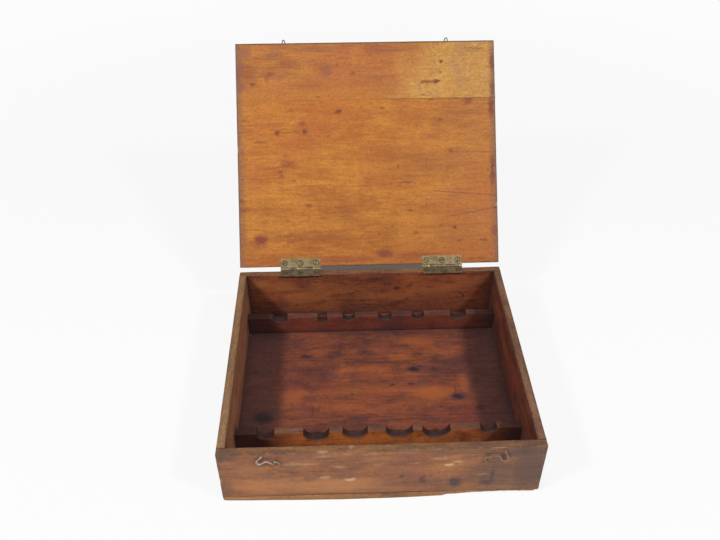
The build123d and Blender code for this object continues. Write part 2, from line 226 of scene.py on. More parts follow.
def worn_board(node, body, grain, seed, place=chest_place, outer=(), joined=(), edge_wear=1.3,
               joint_wear=0.3, bites=(), recesses=(), nails=(), shape=None, depth_outside=0.5):
    """Board with rounded edges, chips, nail dimples and hinge recesses, in place of its CAD node.

    outer lists the faces that the open air wears, as (axis, side) with side 0 for low and 1 for high, and
    joined the faces whose edges keep sharp because another board is fixed to them. edge_wear and
    joint_wear are the radii of those edges and depth_outside the depth of the outer colour, in mm.
    """
    low, high = board_box(node, place)
    size = high - low
    extra = [[], [], []]
    for lower, upper in recesses:
        for axis, edge in ((0, lower[0]), (0, upper[0]), (1, lower[1])):
            extra[axis] += [edge - recess_step, edge + recess_step]
    for nail in nails:
        for axis in range(3):
            extra[axis] += [nail[axis] + step * MM for step in nail_rings]
    thin = int(np.argmin(size))
    spacing = [3.6 * MM] * 3
    spacing[grain] = 2.0 * MM
    spacing[thin] = 1.6 * MM
    lines = []
    for axis in range(3):
        ends = thickness_ends if axis == thin else board_ends
        lines.append(graded(low[axis], high[axis], spacing[axis], ends, extra[axis]))
    flat, faces = block(lines)

    exposed = np.zeros(len(flat))
    outside = np.zeros(len(flat))
    for axis, side in outer:
        gap = from_face(flat, low, high, axis, side)
        exposed = np.maximum(exposed, np.exp(-np.maximum(gap, 0) / (1.5 * MM)))
        outside = np.maximum(outside, np.clip(depth_outside - gap / MM, 0, 1))
    free = np.ones(len(flat))
    for axis, side in joined:
        gap = from_face(flat, low, high, axis, side)
        exposed *= 1 - np.exp(-np.maximum(gap, 0) / (1.2 * MM))
        if axis != thin:
            free *= 1 - np.exp(-np.maximum(gap, 0) / (4 * MM))
    radius = (joint_wear + (edge_wear - joint_wear) * exposed) * (1 + 0.35 * wobble(flat, 22 * MM, seed))
    radius = np.clip(radius, 0.12, 0.45 * size[thin] / MM) * MM
    points, out = rounded(flat, low, high, radius)
    dent = 0.08 * MM * (1 + wobble(flat, 30 * MM, seed + 1))
    dent = dent + 0.05 * MM * (1 + wobble(flat, 7 * MM, seed + 2))
    points -= out * (dent * free)[:, None]
    raw = bitten(points, bites, grain, seed + 3)
    for lower, upper in recesses:
        inside = np.all((flat[:, :2] > lower[:2]) & (flat[:, :2] < upper[:2]), axis=1)
        inside &= np.abs(flat[:, 2] - lower[2]) < on_surface
        points[inside, 2] = upper[2]
    for nail in nails:
        if np.abs(np.stack((nail - low, nail - high))).min() < on_surface:
            gap = np.linalg.norm(flat - nail, axis=1)
            dimple = 0.25 * MM * np.exp(-((gap / (1.9 * MM)) ** 4))
            points -= out * dimple[:, None]
    if shape:
        points = shape(points, flat)

    values = {
        "grain": np.stack([flat[:, grain], flat[:, (grain + 1) % 3], flat[:, (grain + 2) % 3]], 1),
        "place": flat,
        "outside": outside,
        "top": np.clip(1 - (high[2] - flat[:, 2]) / (0.5 * MM), 0, 1),
        "wear": np.exp(-edge_distance(flat, low, high) / (2.2 * MM)) * exposed,
        "joint": np.exp(-edge_distance(flat, low, high) / (0.5 * MM)) * (1 - exposed),
        # Dirt and painted shade in the chest's inside corners, not on its outer faces.
        "grime_and_shade": corner_grime_and_shade(flat) * (outside < 0.01) * (body == "chest"),
        "raw": raw,
    }
    piece = make_piece(node + "_worn", points, faces, place, body, values)
    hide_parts(node)
    return piece


def node_solids(node, place=chest_place):
    """Box of each separate solid of a node, as (low, high) pairs."""
    points = node_points(node, place)
    welded = {}
    parent = list(range(len(points)))

    def root(item):
        while parent[item] != item:
            parent[item] = parent[parent[item]]
            item = parent[item]
        return item

    for item, point in enumerate(points):
        key = tuple(np.round(point / MM, 2))
        parent[root(item)] = root(welded.setdefault(key, item))
    for edge in nodes[node].data.edges:
        parent[root(edge.vertices[0])] = root(edge.vertices[1])
    groups = {}
    for item in range(len(points)):
        groups.setdefault(root(item), []).append(item)
    return [(points[group].min(0), points[group].max(0)) for group in groups.values()]


def nail_heads(node, axis, side=None):
    """Middle of each nail's head, at the given side of its box or else at the outer one."""
    heads = []
    for low, high in node_solids(node):
        middle = (low + high) / 2
        at_high = middle[axis] >= 0 if side is None else side
        middle[axis] = high[axis] if at_high else low[axis]
        heads.append(middle)
    return heads


# Shader graphs

def paint(red, green, blue):
    """Linear colour of a colour as seen on a screen, each part from 0 to 255."""
    parts = [part / 255 for part in (red, green, blue)]
    return tuple(p / 12.92 if p <= 0.04045 else ((p + 0.055) / 1.055) ** 2.4 for p in parts) + (1.0,)


class Graph:
    """Short names for the nodes that a material or the surround is made of."""

    def __init__(self, owner):
        owner.use_nodes = True
        self.owner = owner
        self.tree = owner.node_tree
        self.tree.nodes.clear()

    def add(self, kind, inputs=(), **settings):
        node = self.tree.nodes.new(kind)
        for key, value in settings.items():
            setattr(node, key, value)
        for key, value in dict(inputs).items():
            self.feed(node.inputs[key], value)
        return node

    def feed(self, socket, value):
        if isinstance(value, bpy.types.NodeSocket):
            self.tree.links.new(value, socket)
        else:
            socket.default_value = value

    def math(self, operation, first, second=0.0, clamp=False):
        inputs = {0: first, 1: second}
        return self.add("ShaderNodeMath", inputs, operation=operation, use_clamp=clamp).outputs[0]

    plus = partialmethod(math, "ADD")
    minus = partialmethod(math, "SUBTRACT")
    times = partialmethod(math, "MULTIPLY")
    most = partialmethod(math, "MAXIMUM")
    distance = partialmethod(math, "ABSOLUTE")

    def rest(self, value):
        return self.minus(1.0, value, clamp=True)

    def axis(self, vector, name):
        return self.add("ShaderNodeSeparateXYZ", {"Vector": vector}).outputs[name]

    def scaled(self, value, factor, plus=0.0):
        inputs = {0: value, 1: factor, 2: plus}
        return self.add("ShaderNodeMath", inputs, operation="MULTIPLY_ADD").outputs[0]

    def vector(self, operation, first, second=(0, 0, 0)):
        node = self.add("ShaderNodeVectorMath", {0: first, 1: second}, operation=operation)
        return node.outputs["Value" if operation in ("LENGTH", "DOT_PRODUCT") else "Vector"]

    def attribute(self, name, output="Fac"):
        return self.add("ShaderNodeAttribute", attribute_name=name).outputs[output]

    def noise(self, vector, scale, detail=2.0, roughness=0.5, distortion=0.0):
        inputs = {"Vector": vector, "Scale": scale, "Detail": detail, "Roughness": roughness,
                  "Distortion": distortion}
        return self.add("ShaderNodeTexNoise", inputs).outputs["Fac"]

    def band(self, value, low, high, to_low=0.0, to_high=1.0):
        inputs = {"Value": value, "From Min": low, "From Max": high, "To Min": to_low, "To Max": to_high}
        return self.add("ShaderNodeMapRange", inputs, interpolation_type="SMOOTHSTEP").outputs["Result"]

    def mix(self, factor, first, second, blend="MIX"):
        node = self.add("ShaderNodeMix", data_type="RGBA", blend_type=blend, clamp_factor=True)
        self.feed(node.inputs["Factor"], factor)
        self.feed(node.inputs[6], first)
        self.feed(node.inputs[7], second)
        return node.outputs[2]

    def combine(self, x, y, z):
        return self.add("ShaderNodeCombineXYZ", {"X": x, "Y": y, "Z": z}).outputs["Vector"]

    def blend(self, factor, first, second):
        inputs = {0: factor, 1: first.outputs[0], 2: second.outputs[0]}
        return self.add("ShaderNodeMixShader", inputs)

    def output(self, shader, kind="ShaderNodeOutputMaterial"):
        self.add(kind, {"Surface": shader.outputs[0]})
        return self.owner

    def surface(self, color, roughness, height, depth, strength, **constants):
        relief = {"Height": height, "Distance": depth, "Strength": strength}
        bump = self.add("ShaderNodeBump", relief).outputs["Normal"]
        inputs = {"Base Color": color, "Roughness": roughness, "Normal": bump, **constants}
        return self.output(self.add("ShaderNodeBsdfPrincipled", inputs))


def spots_mask(graph, warped, spots):
    """Greatest of the soft stains at each point: each is centre, radii in mm and strength."""
    masks = []
    for centre, radii, strength in spots:
        away = graph.vector("SUBTRACT", warped, [c * MM for c in centre])
        share = graph.vector("MULTIPLY", away, [1 / (r * MM) for r in radii])
        masks.append(graph.band(graph.vector("LENGTH", share), 1.25, 0.35, 0.0, strength))
    return reduce(graph.most, masks)


def strokes_mask(graph, warped, strokes):
    """Greatest of the thin marks at each point: each is start, end and half width in mm and strength."""
    masks = []
    for start, end, width, strength in strokes:
        first = Vector(start) * MM
        along = Vector(end) * MM - first
        away = graph.vector("SUBTRACT", warped, first)
        share = graph.vector("DOT_PRODUCT", away, along / along.length_squared)
        share = graph.add("ShaderNodeClamp", {"Value": share}).outputs["Result"]
        foot = graph.add("ShaderNodeVectorMath", {0: along, "Scale": share}, operation="SCALE")
        gap = graph.vector("LENGTH", graph.vector("SUBTRACT", away, foot.outputs["Vector"]))
        masks.append(graph.band(gap, 1.3 * width * MM, 0.3 * width * MM, 0.0, strength))
    return reduce(graph.most, masks)


def aged_wood(name, inner, outer, top, seed, marks=(), strokes=(), blotch=0.3, flecks=0.5,
              lined=0.32, seam=0.8, seam_fade=None, worn=0.45, soiled=(0.15, 0.75), grime_and_shade=0.85,
              extra=None):
    """Old close-grained wood. inner, outer and top are the light, dark and red tones of its faces.

    marks are pairs of spots and their colour, strokes are thin dark marks, seam_fade is the range along x
    in which a glued seam comes into sight.
    """
    g = Graph(bpy.data.materials.new(name))
    grain = g.attribute("grain", "Vector")
    place = g.attribute("place", "Vector")
    seeded = g.vector("ADD", grain, (0.37 * seed, 0.53 * seed, 0.71 * seed))
    lifted = g.scaled(g.noise(g.vector("MULTIPLY", seeded, (6, 16, 16)), 1.0, 2), 0.012)
    waved = g.vector("ADD", seeded, g.combine(0.0, lifted, lifted))
    broad = g.noise(g.vector("MULTIPLY", waved, (9, 62, 62)), 1.0, 3, 0.6)
    middling = g.noise(g.vector("MULTIPLY", waved, (62, 210, 210)), 1.0, 4, 0.62)
    streak = g.noise(g.vector("MULTIPLY", waved, (42, 470, 470)), 1.0, 4, 0.65)
    lines = g.noise(g.vector("MULTIPLY", waved, (13, 400, 400)), 1.0, 2, 0.5)
    pores = g.noise(g.vector("MULTIPLY", waved, (170, 2300, 2300)), 1.0, 2, 0.5)
    fleck = g.noise(g.vector("MULTIPLY", seeded, (210, 460, 460)), 1.0, 3, 0.7)
    mottle = g.noise(seeded, 34.0, 5, 0.66)
    cloud = g.noise(seeded, 9.0, 3, 0.55)
    soot = g.noise(seeded, 15.0, 4, 0.62)
    speckle = g.noise(place, 330.0, 4, 0.7)

    def tinted(palette):
        light, dim, reddish = palette
        tone = g.plus(g.scaled(broad, 0.8, -0.72), g.scaled(streak, 0.5))
        tone = g.plus(tone, g.scaled(middling, 0.55))
        tone = g.plus(tone, g.scaled(mottle, 0.6))
        base = g.mix(g.band(tone, 0.22, 0.78), dim, light)
        return g.mix(g.band(cloud, 0.45, 0.72, 0.0, 0.8), base, reddish)

    color = g.mix(g.band(g.attribute("outside"), 0.25, 0.75), tinted(inner), tinted(outer))
    color = g.mix(g.band(g.attribute("top"), 0.25, 0.75), color, tinted(top))
    if extra:
        color = extra(g, color, place, streak, mottle)
    shade = g.scaled(speckle, 0.9, 0.55)
    color = g.mix(1.0, color, g.combine(shade, shade, shade), "MULTIPLY")
    color = g.mix(g.band(soot, 0.52, 0.66, 0.0, blotch), color, paint(70, 42, 44))
    color = g.mix(g.band(lines, 0.58, 0.70, 0.0, lined), color, paint(76, 38, 26))
    fleck_mask = g.times(g.band(fleck, 0.56, 0.72), flecks)
    color = g.mix(fleck_mask, color, g.mix(0.5, color, paint(46, 34, 36), "MULTIPLY"))
    pore_mask = g.band(pores, 0.60, 0.70)
    color = g.mix(g.times(pore_mask, 0.3), color, paint(60, 34, 22))

    ripple = g.noise(place, 240.0, 3, 0.6)
    shift = g.add("ShaderNodeTexNoise", {"Vector": place, "Scale": 210.0, "Detail": 4.0}).outputs["Color"]
    shift = g.vector("MULTIPLY", g.vector("SUBTRACT", shift, (0.5, 0.5, 0.5)), (0.009, 0.006, 0.006))
    warped = g.vector("ADD", place, shift)
    for spots, tone in marks:
        color = g.mix(spots_mask(g, warped, spots), color, tone)
    thinly = g.vector("ADD", place, g.vector("MULTIPLY", shift, (0.2, 0.2, 0.2)))
    if strokes:
        color = g.mix(strokes_mask(g, thinly, strokes), color, burnt)

    # Dirt and painted shade in the chest's inside corners and at the racks' feet.
    patchy = g.plus(mottle, g.times(ripple, 0.4))
    grime_and_shade_mask = g.times(g.attribute("grime_and_shade"), g.band(patchy, 0.35, 0.8, 0.3, 1.0))
    color = g.mix(g.times(grime_and_shade_mask, grime_and_shade), color, paint(46, 36, 38))
    wear = g.attribute("wear")
    bright = g.band(g.plus(ripple, g.times(cloud, 0.6)), 0.66, 0.98, 0.0, worn)
    color = g.mix(g.times(wear, bright), color, paint(176, 140, 98))
    color = g.mix(g.times(wear, g.band(mottle, 0.36, 0.60, *soiled)), color, paint(58, 42, 36))
    joint = g.times(g.attribute("joint"), seam)
    if seam_fade:
        fade = g.band(g.axis(place, "X"), seam_fade[0] * MM, seam_fade[1] * MM)
        joint = g.times(joint, fade)
    color = g.mix(joint, color, paint(40, 26, 24))
    color = g.mix(g.attribute("raw"), color, g.mix(streak, paint(120, 84, 54), paint(190, 150, 108)))

    height = g.plus(g.times(streak, 0.45), g.times(ripple, 0.25))
    height = g.minus(height, g.times(pore_mask, 0.4))
    height = g.minus(height, g.times(fleck_mask, 0.4))
    roughness = g.band(g.plus(mottle, g.times(pore_mask, 0.3)), 0.3, 0.9, 0.50, 0.72)
    return g.surface(color, roughness, height, 0.25 * MM, 0.55, **{"Specular IOR Level": 0.3})


# Colours of the wood, each as its light, dark and reddish tone

lid_inner = (paint(192, 124, 44), paint(158, 90, 30), paint(174, 96, 38))
lid_front_inner = (paint(186, 120, 54), paint(156, 92, 42), paint(166, 92, 50))
lid_outer = (paint(150, 98, 58), paint(104, 66, 42), paint(122, 70, 46))
rear_inner = (paint(160, 88, 50), paint(102, 55, 42), paint(124, 58, 44))
left_inner = (paint(174, 118, 82), paint(124, 83, 65), paint(145, 88, 68))
right_inner = (paint(126, 70, 50), paint(76, 42, 36), paint(112, 48, 40))
floor_inner = (paint(146, 78, 48), paint(86, 50, 43), paint(112, 54, 46))
front_outer = (paint(180, 126, 76), paint(130, 90, 60), paint(148, 96, 66))
chest_outer = (paint(160, 106, 66), paint(112, 74, 50), paint(128, 74, 50))
bottom_edge = (paint(180, 130, 78), paint(134, 92, 56), paint(150, 100, 64))
wall_top = (paint(162, 130, 96), paint(114, 90, 69), paint(140, 105, 78))
right_top = (paint(146, 110, 82), paint(98, 72, 58), paint(128, 84, 62))
front_top = (paint(152, 104, 68), paint(98, 68, 52), paint(128, 80, 54))
rack_inner = (paint(134, 66, 44), paint(80, 42, 36), paint(104, 44, 38))
front_rack_inner = (paint(176, 98, 50), paint(108, 60, 42), paint(140, 70, 42))
rear_rack_top = (paint(120, 70, 58), paint(68, 42, 42), paint(96, 50, 44))
front_rack_top = (paint(138, 90, 66), paint(84, 56, 50), paint(112, 66, 50))
rack_notch = (paint(72, 42, 40), paint(42, 27, 29), paint(56, 30, 30))
soot = paint(50, 38, 40)
ink = paint(42, 36, 44)
plum = paint(80, 50, 52)
umber = paint(84, 66, 60)
old_red = paint(118, 50, 38)
amber = paint(168, 92, 45)
chipped = paint(202, 168, 134)
burnt = paint(108, 54, 32)


# Worn boards of the lid

def inner_face(g, place):
    """Mask of the lid's underside."""
    return g.band(g.axis(place, "Z"), lid_low[2] + 3 * MM, lid_low[2] + 1 * MM)


def lid_soil(g, color, place, streak, mottle):
    """Dirt from hands along both ends of the lid, and a warmer tone near its hinges."""
    x = g.axis(place, "X")
    y = g.axis(place, "Y")
    color = g.mix(g.band(x, 0.01, 0.15, 0.0, 0.32), color, paint(158, 98, 50))
    color = g.mix(g.band(y, 0.100, 0.138, 0.0, 0.40), color, paint(160, 82, 34))
    off_middle = g.distance(x)
    front_rim = g.band(y, lid_low[1] + 2.4 * MM, lid_low[1] + 0.8 * MM, 0.0, 0.85)
    side_rims = g.band(off_middle, lid_high[0] - 2.0 * MM, lid_high[0] - 0.6 * MM, 0.0, 0.75)
    rim = g.times(g.most(front_rim, side_rims), inner_face(g, place))
    color = g.mix(rim, color, paint(74, 54, 44))
    reach = g.plus(off_middle, g.scaled(mottle, 0.014, -0.007))
    mask = g.times(g.band(reach, 0.1515, 0.1595), g.band(streak, 0.3, 0.66, 0.45, 0.85))
    return g.mix(mask, color, paint(132, 90, 66))


def pale_patch(g, color, place, streak, mottle):
    """Sapwood with a curly figure on the right half of the lid's front board."""
    y = g.axis(place, "Y")
    slant = g.scaled(y, 0.55, 0.55 * 0.072)
    rising = g.plus(g.plus(g.axis(place, "X"), slant), g.scaled(mottle, 0.07, -0.035))
    mask = g.band(rising, 0.009, 0.082)
    near_seam = g.band(g.plus(y, g.scaled(mottle, 0.03, -0.015)), -0.100, -0.072, 0.0, 0.7)
    color = g.mix(near_seam, color, g.mix(streak, paint(164, 96, 34), paint(190, 122, 46)))
    curl = g.noise(g.vector("MULTIPLY", place, (95, 190, 95)), 1.0, 4, 0.62, 0.8)
    pale = g.mix(g.band(curl, 0.34, 0.70), paint(186, 136, 64), paint(208, 162, 82))
    greyed = g.noise(g.vector("MULTIPLY", place, (55, 20, 20)), 1.0, 3, 0.6)
    pale = g.mix(g.band(greyed, 0.50, 0.68, 0.0, 0.55), pale, paint(166, 128, 92))
    color = g.mix(g.times(g.times(mask, inner_face(g, place)), 0.85), color, pale)
    return lid_soil(g, color, place, streak, mottle)


lid_underside = float(lid_low[2] / MM)
lid_mark_scale = 0.9875
lid_mark_shift = 3.0


def lid_place(x, y):
    """Place in mm on the lid's underside, a little nearer to the hinges than the listed y."""
    return (x, lid_mark_scale * y + lid_mark_shift, lid_underside)


def on_lid(*marks):
    """Marks on the lid's underside: x, y, their radii and strength."""
    return [(lid_place(x, y), (1.2 * rx, 1.2 * ry, 2.4), share) for x, y, rx, ry, share in marks]


def lid_strokes(*strokes):
    """Thin marks on the lid's underside: both ends' x and y, half width and strength."""
    return [(lid_place(x, y), lid_place(u, v), width, share) for x, y, u, v, width, share in strokes]


lid_front_dark = on_lid(
    (75, -93, 7, 2.2, 0.8), (88.5, -93.5, 5.4, 2.1, 0.95), (82, -93, 5, 1.1, 0.7),
    (95.5, -118.5, 1.8, 1.7, 0.9), (136, -135, 14, 1.2, 0.5), (159.5, -118, 3, 14, 0.75),
    (159, -84, 3.2, 12, 0.75), (71, -77, 4, 1.2, 0.6), (94, -105, 2.4, 3, 0.4), (20, -120, 2.0, 1.6, 0.4),
    (-105, -120, 3.4, 2.6, 0.4), (-35, -116, 2.2, 1.8, 0.45), (-17, -105, 3.2, 1.8, 0.5),
    (81, -78, 1.6, 1.3, 0.5), (-61, -76, 3.2, 1.2, 0.6), (-142, -93.5, 3.4, 1.8, 0.6),
)
lid_front_plum = on_lid(
    (-156, -114, 5, 9, 0.5), (-157, -89, 5, 6, 0.6), (-116, -130, 10, 7, 0.3), (-49, -109, 6, 8, 0.35),
    (-151, -132, 9, 6, 0.5), (-60, -137, 34, 3, 0.3), (-110, -102, 9, 3, 0.3), (30, -135, 30, 3, 0.25),
)
lid_front_red = on_lid(
    (-118.6, -106, 5, 2.6, 0.6), (-124, -100, 3.4, 5, 0.4), (-141, -93, 5, 3, 0.5),
    (-95, -118, 16, 8, 0.3), (-50, -112, 12, 8, 0.3), (10, -133, 12, 6, 0.15), (-150, -104, 12, 16, 0.25),
    (-75, -92, 26, 8, 0.25),
)
lid_rear_dark = on_lid(
    (-36, -57, 4.2, 3.2, 0.9), (19.8, -60, 2.4, 2.2, 0.7), (-112.5, -31, 3.6, 2.8, 0.85),
    (-78, -32, 2.6, 3.8, 0.85), (107.3, 92.9, 2.4, 2.2, 0.8), (157.5, -58, 3, 10, 0.5),
    (-110, 18, 4, 2.0, 0.55), (-108, 24, 3, 1.6, 0.55), (-75, 62, 4, 2.6, 0.55), (-93, 30, 2.8, 1.6, 0.5),
    (81, -71, 3, 1.3, 0.65), (157, 10, 3, 9, 0.55), (156.5, 32, 3, 9, 0.5), (158, 97, 4, 6, 0.5),
    (138, 132.5, 9, 1.3, 0.6), (127, 133, 5, 1.4, 0.45), (147, 137.5, 7, 1.4, 0.7), (-159, 54, 3, 3, 0.55),
    (-157, 65.5, 6, 2.4, 0.5), (59, 99, 3, 1.8, 0.5), (12.5, 99.6, 2, 1.6, 0.45),
    (113.6, 110, 3.4, 1.3, 0.6), (144, 109.6, 6, 1.4, 0.6), (103.7, -5.6, 3.6, 2.6, 0.55),
    (38.5, 14, 2.6, 2.2, 0.5), (129, -70, 4.5, 1.8, 0.5), (127.4, -64.6, 4, 1.6, 0.4),
    (93, -44.6, 2.2, 2.0, 0.55), (-102, 80.4, 3.8, 1.3, 0.5), (-75.5, 77, 1.6, 3, 0.4),
    (-56, 78.6, 2, 1.8, 0.4), (-74, 115.4, 5, 1.2, 0.45), (-48, -26, 2.2, 2.2, 0.4),
    (-103.4, -1.8, 5, 1.6, 0.45), (-152, -47.6, 5, 1.6, 0.4), (90.9, 90.3, 2.2, 1.4, 0.5),
    (-98, 98, 2, 2, 0.35),
)
lid_rear_red = on_lid(
    (-99, 9, 10, 5, 0.6), (-136, 104, 9, 7, 0.85), (20, 125, 11, 6, 0.75), (128, -68, 6, 3, 0.5),
    (-81, -42, 4, 3, 0.55), (-135, -19.5, 8, 1.8, 0.55), (48, 34.4, 10, 1.6, 0.6),
    (-97, 107.4, 7, 3, 0.45), (157, -60, 4, 14, 0.6), (-31, 131, 46, 4.5, 0.5), (-60, 100, 40, 10, 0.15),
    (60, 10, 60, 22, 0.2), (-144, 112, 18, 9, 0.3), (55, 128, 24, 5, 0.35), (-95, -59, 4, 1.8, 0.4),
    (-30, 70, 26, 14, 0.2),
)
lid_rear_ink = on_lid((53, 70.5, 1.6, 1.6, 1.0), (161, 68, 2.4, 1.8, 1.0), (157, 21, 2.2, 9, 0.5))
lid_rear_lines = lid_strokes(
    (-112, -31, -86, -32, 0.6, 0.5), (83, 46, 162, 53, 0.75, 0.6), (101, 78.5, 160, 68.6, 0.75, 0.55),
    (104, -3.4, 157, -2.4, 0.6, 0.45), (-156, 91, -128, 92, 0.7, 0.5), (73.8, 5, 73.6, 16, 0.6, 0.45),
    (72.8, 55, 72.4, 65, 0.7, 0.5), (96, -66, 160, -64, 0.5, 0.45), (60, 92, 158, 88, 0.6, 0.35),
    (100, -38, 158, -40, 0.5, 0.35), (20, 35, 60, 34, 0.5, 0.35), (-80, 96, -20, 94, 0.6, 0.35),
)
lid_front_lines = lid_strokes(
    (-52, -130, -51, -117, 0.5, 0.35), (-44, -131, -44, -121, 0.5, 0.3), (88, -130, 87, -116, 0.5, 0.3),
    (58, -74.5, 80, -76, 0.5, 0.5), (128, -132, 152, -131, 0.5, 0.5),
)
lid_finish = {"flecks": 0.5, "lined": 0.2, "seam": 0.45, "seam_fade": (-70, 50), "soiled": (0.55, 0.95)}
lid_front_marks = ((lid_front_red, old_red), (lid_front_plum, paint(120, 78, 72)), (lid_front_dark, burnt))
lid_rear_marks = ((lid_rear_red, old_red), (lid_rear_dark, burnt), (lid_rear_ink, ink))
lid_front_wood = aged_wood("lid_front_wood", lid_front_inner, lid_outer, lid_outer, 3, lid_front_marks,
                           lid_front_lines, blotch=0.06, extra=pale_patch, **lid_finish)
lid_rear_wood = aged_wood("lid_rear_wood", lid_inner, lid_outer, lid_outer, 5, lid_rear_marks,
                          lid_rear_lines, blotch=0.05, extra=lid_soil, **lid_finish)

leaves = [board_box(f"{side}_hinge_lid_leaf", lid_open) for side in ("left", "right")]
leaf_front = leaves[0][0][1]
leaf_recess = 1.3 * MM
lid_recesses = [
    ((low[0], leaf_front, lid_low[2]), (high[0], lid_high[1] + 1 * MM, lid_low[2] + leaf_recess))
    for low, high in leaves
]
wall_recesses = [
    ((low[0], inner_high[1] - 1 * MM, chest_high[2]),
     (high[0], chest_high[1] + 1 * MM, chest_high[2] - leaf_recess))
    for low, high in leaves
]


LOW_X, HIGH_X, LOW_Y, HIGH_Y, LOW_Z, HIGH_Z = (0, 0), (0, 1), (1, 0), (1, 1), (2, 0), (2, 1)
lid_front = worn_board(
    "lid_front_board", "lid", 0, 11, lid_open, [LOW_X, HIGH_X, LOW_Y, HIGH_Z], [HIGH_Y], 0.9, 0.12,
    bites=[((-40 * MM, lid_low[1] - 0.5 * MM, lid_low[2] - 0.4 * MM), (9, 1.5, 1.2), 0.25),
           ((64 * MM, lid_low[1] - 0.5 * MM, lid_high[2] + 0.3 * MM), (12, 2.0, 1.7), 0.25)],
)
lid_rear = worn_board(
    "lid_rear_board", "lid", 0, 17, lid_open, [LOW_X, HIGH_X, HIGH_Y, HIGH_Z], [LOW_Y], 0.9, 0.12,
    bites=[((lid_high[0] - 0.5 * MM, 68 * MM, lid_low[2] - 0.2 * MM), (2.5, 2.4, 1.8), 0.25),
           ((lid_low[0], -8 * MM, lid_low[2] - 0.2 * MM), (2.0, 5.0, 1.4), 0.25),
           ((20 * MM, lid_high[1] + 0.3 * MM, lid_high[2] + 0.3 * MM), (14, 1.8, 1.6), 0.25)],
    recesses=lid_recesses,
)
for piece, wood in ((lid_front, lid_front_wood), (lid_rear, lid_rear_wood)):
    piece.data.materials.append(wood)


# Worn boards of the chest

def dust_and_wall_shadows(g, color, place, streak, mottle):
    """Dust on the floor along the side walls, with a painted shadow of the walls in the same bands."""
    off_middle = g.distance(g.minus(g.axis(place, "X"), 0.003))
    sides = g.band(g.plus(off_middle, g.scaled(mottle, 0.03, -0.015)), 0.098, 0.126, 0.0, 0.66)
    dust_and_shadow_tone = g.mix(streak, paint(60, 48, 54), paint(98, 69, 65))
    return g.mix(g.times(sides, g.rest(g.attribute("outside"))), color, dust_and_shadow_tone)


def worn_rim(deep, dim, light, strength):
    """Worn wood along the upper part of a side wall's inner face, its depth in mm."""
    def paint_rim(g, color, place, streak, mottle):
        height = g.plus(g.axis(place, "Z"), g.scaled(mottle, 0.02, -0.01))
        mask = g.band(height, chest_high[2] - deep * MM, chest_high[2] - 3 * MM, 0.0, strength)
        return g.mix(g.times(mask, g.rest(g.attribute("outside"))), color, g.mix(streak, dim, light))
    return paint_rim


def rack_face_and_wall_shadows(ends, dark, warm, strength):
    """Painted wall shadow over a rack's ends and a warm middle, ends being where it begins, in mm from the
    middle.
    """
    def paint_face(g, color, place, streak, mottle):
        off_middle = g.distance(g.minus(g.axis(place, "X"), 0.010))
        off_middle = g.plus(off_middle, g.scaled(mottle, 0.03, -0.015))
        middle = g.band(off_middle, (ends + 5) * MM, (ends - 30) * MM)
        middle = g.times(g.times(middle, g.band(mottle, 0.28, 0.54)), strength)
        plain = g.rest(g.most(g.attribute("outside"), g.attribute("top")))
        color = g.mix(g.times(middle, plain), color, warm)
        return g.mix(g.band(off_middle, ends * MM, (ends + 22) * MM, 0.0, 0.78), color, dark)
    return paint_face


front_y = float(chest_low[1] / MM)
rear_inner_y = float(inner_high[1] / MM)
floor_z = float(floor_top / MM)


def on_front(*marks):
    """Marks on the front wall's outer face: x, z, their radii and strength."""
    return [((x, front_y, z), (rx, 3.0, rz), strength) for x, z, rx, rz, strength in marks]


def on_rear(*marks):
    """Marks on the rear wall's inner face: x, z, their radii and strength."""
    return [((x, rear_inner_y, z), (rx, 3.0, rz), strength) for x, z, rx, rz, strength in marks]


def on_floor(*marks):
    """Marks on the chest's floor: x, y, their radii and strength."""
    return [((x, y, floor_z), (rx, ry, 3.0), strength) for x, y, rx, ry, strength in marks]


front_stains_and_hook_shadows = on_front(
    (19.5, 33, 4, 3.4, 0.75), (41, 27, 4.4, 8, 0.65), (74.5, 20.5, 8, 10, 0.7), (107, 19, 8, 6, 0.65),
    (111.5, 29, 3.4, 11, 0.7), (103, 27, 5, 4, 0.4), (-100, 38, 3, 3, 0.35), (-158, 72, 5, 4, 0.5),
    (-104, 61, 13, 2.6, 0.35), (92, 62, 12, 2.6, 0.4), (60, 72.5, 24, 0.9, 0.5), (96, 71, 22, 1.0, 0.55),
    # The last mark of the next line and the three of the line after are painted shadows of the hooks,
    # inside their bends and above their shanks.
    (20, 73, 16, 0.8, 0.4), (121, 58, 3, 5, 0.4), (-118, 58, 3, 4, 0.3), (-119.5, 65.5, 3.4, 1.7, 0.7),
    (-111, 67, 6, 1.3, 0.5), (108, 66.3, 8, 1.0, 0.75), (119.5, 62.5, 2.4, 2.4, 0.7),
) + [((57, -130.5, 75), (3.4, 1.4, 3), 0.95)]
front_slate = on_front(
    (110, 24, 9, 14, 0.6), (76, 24, 9, 13, 0.45), (142, 66, 32, 12, 0.85), (150, 36, 30, 44, 0.8),
    (-153, 70, 15, 6, 0.75), (-157, 24, 9, 20, 0.4), (112, 32, 40, 32, 0.58), (-120, 68, 14, 2.6, 0.45),
    (104, 68, 24, 4, 0.5), (-73, 33, 7, 6, 0.4), (-48, 46, 7, 4, 0.35), (10, 67, 50, 4, 0.25),
    (76, 68, 34, 4, 0.4), (60, 20, 60, 14, 0.22), (-20, 58, 30, 4, 0.2),
) + [
    ((100, -136, 75), (34, 8, 4), 0.45), ((-152, -136, 75), (15, 6, 4), 0.75),
    ((30, -138, 75), (14, 3, 3), 0.4), ((146, -136, 75), (16, 6, 4), 0.5),
    ((-104, -137, 75), (20, 3, 3), 0.4),
]
front_amber = on_front(
    (-110, 22, 44, 16, 0.4), (-50, 20, 60, 15, 0.6), (-130, 50, 24, 10, 0.3), (0, 12, 60, 8, 0.3),
    (-80, 60, 30, 5, 0.25), (30, 44, 40, 7, 0.2), (120, 10, 40, 6, 0.35),
)
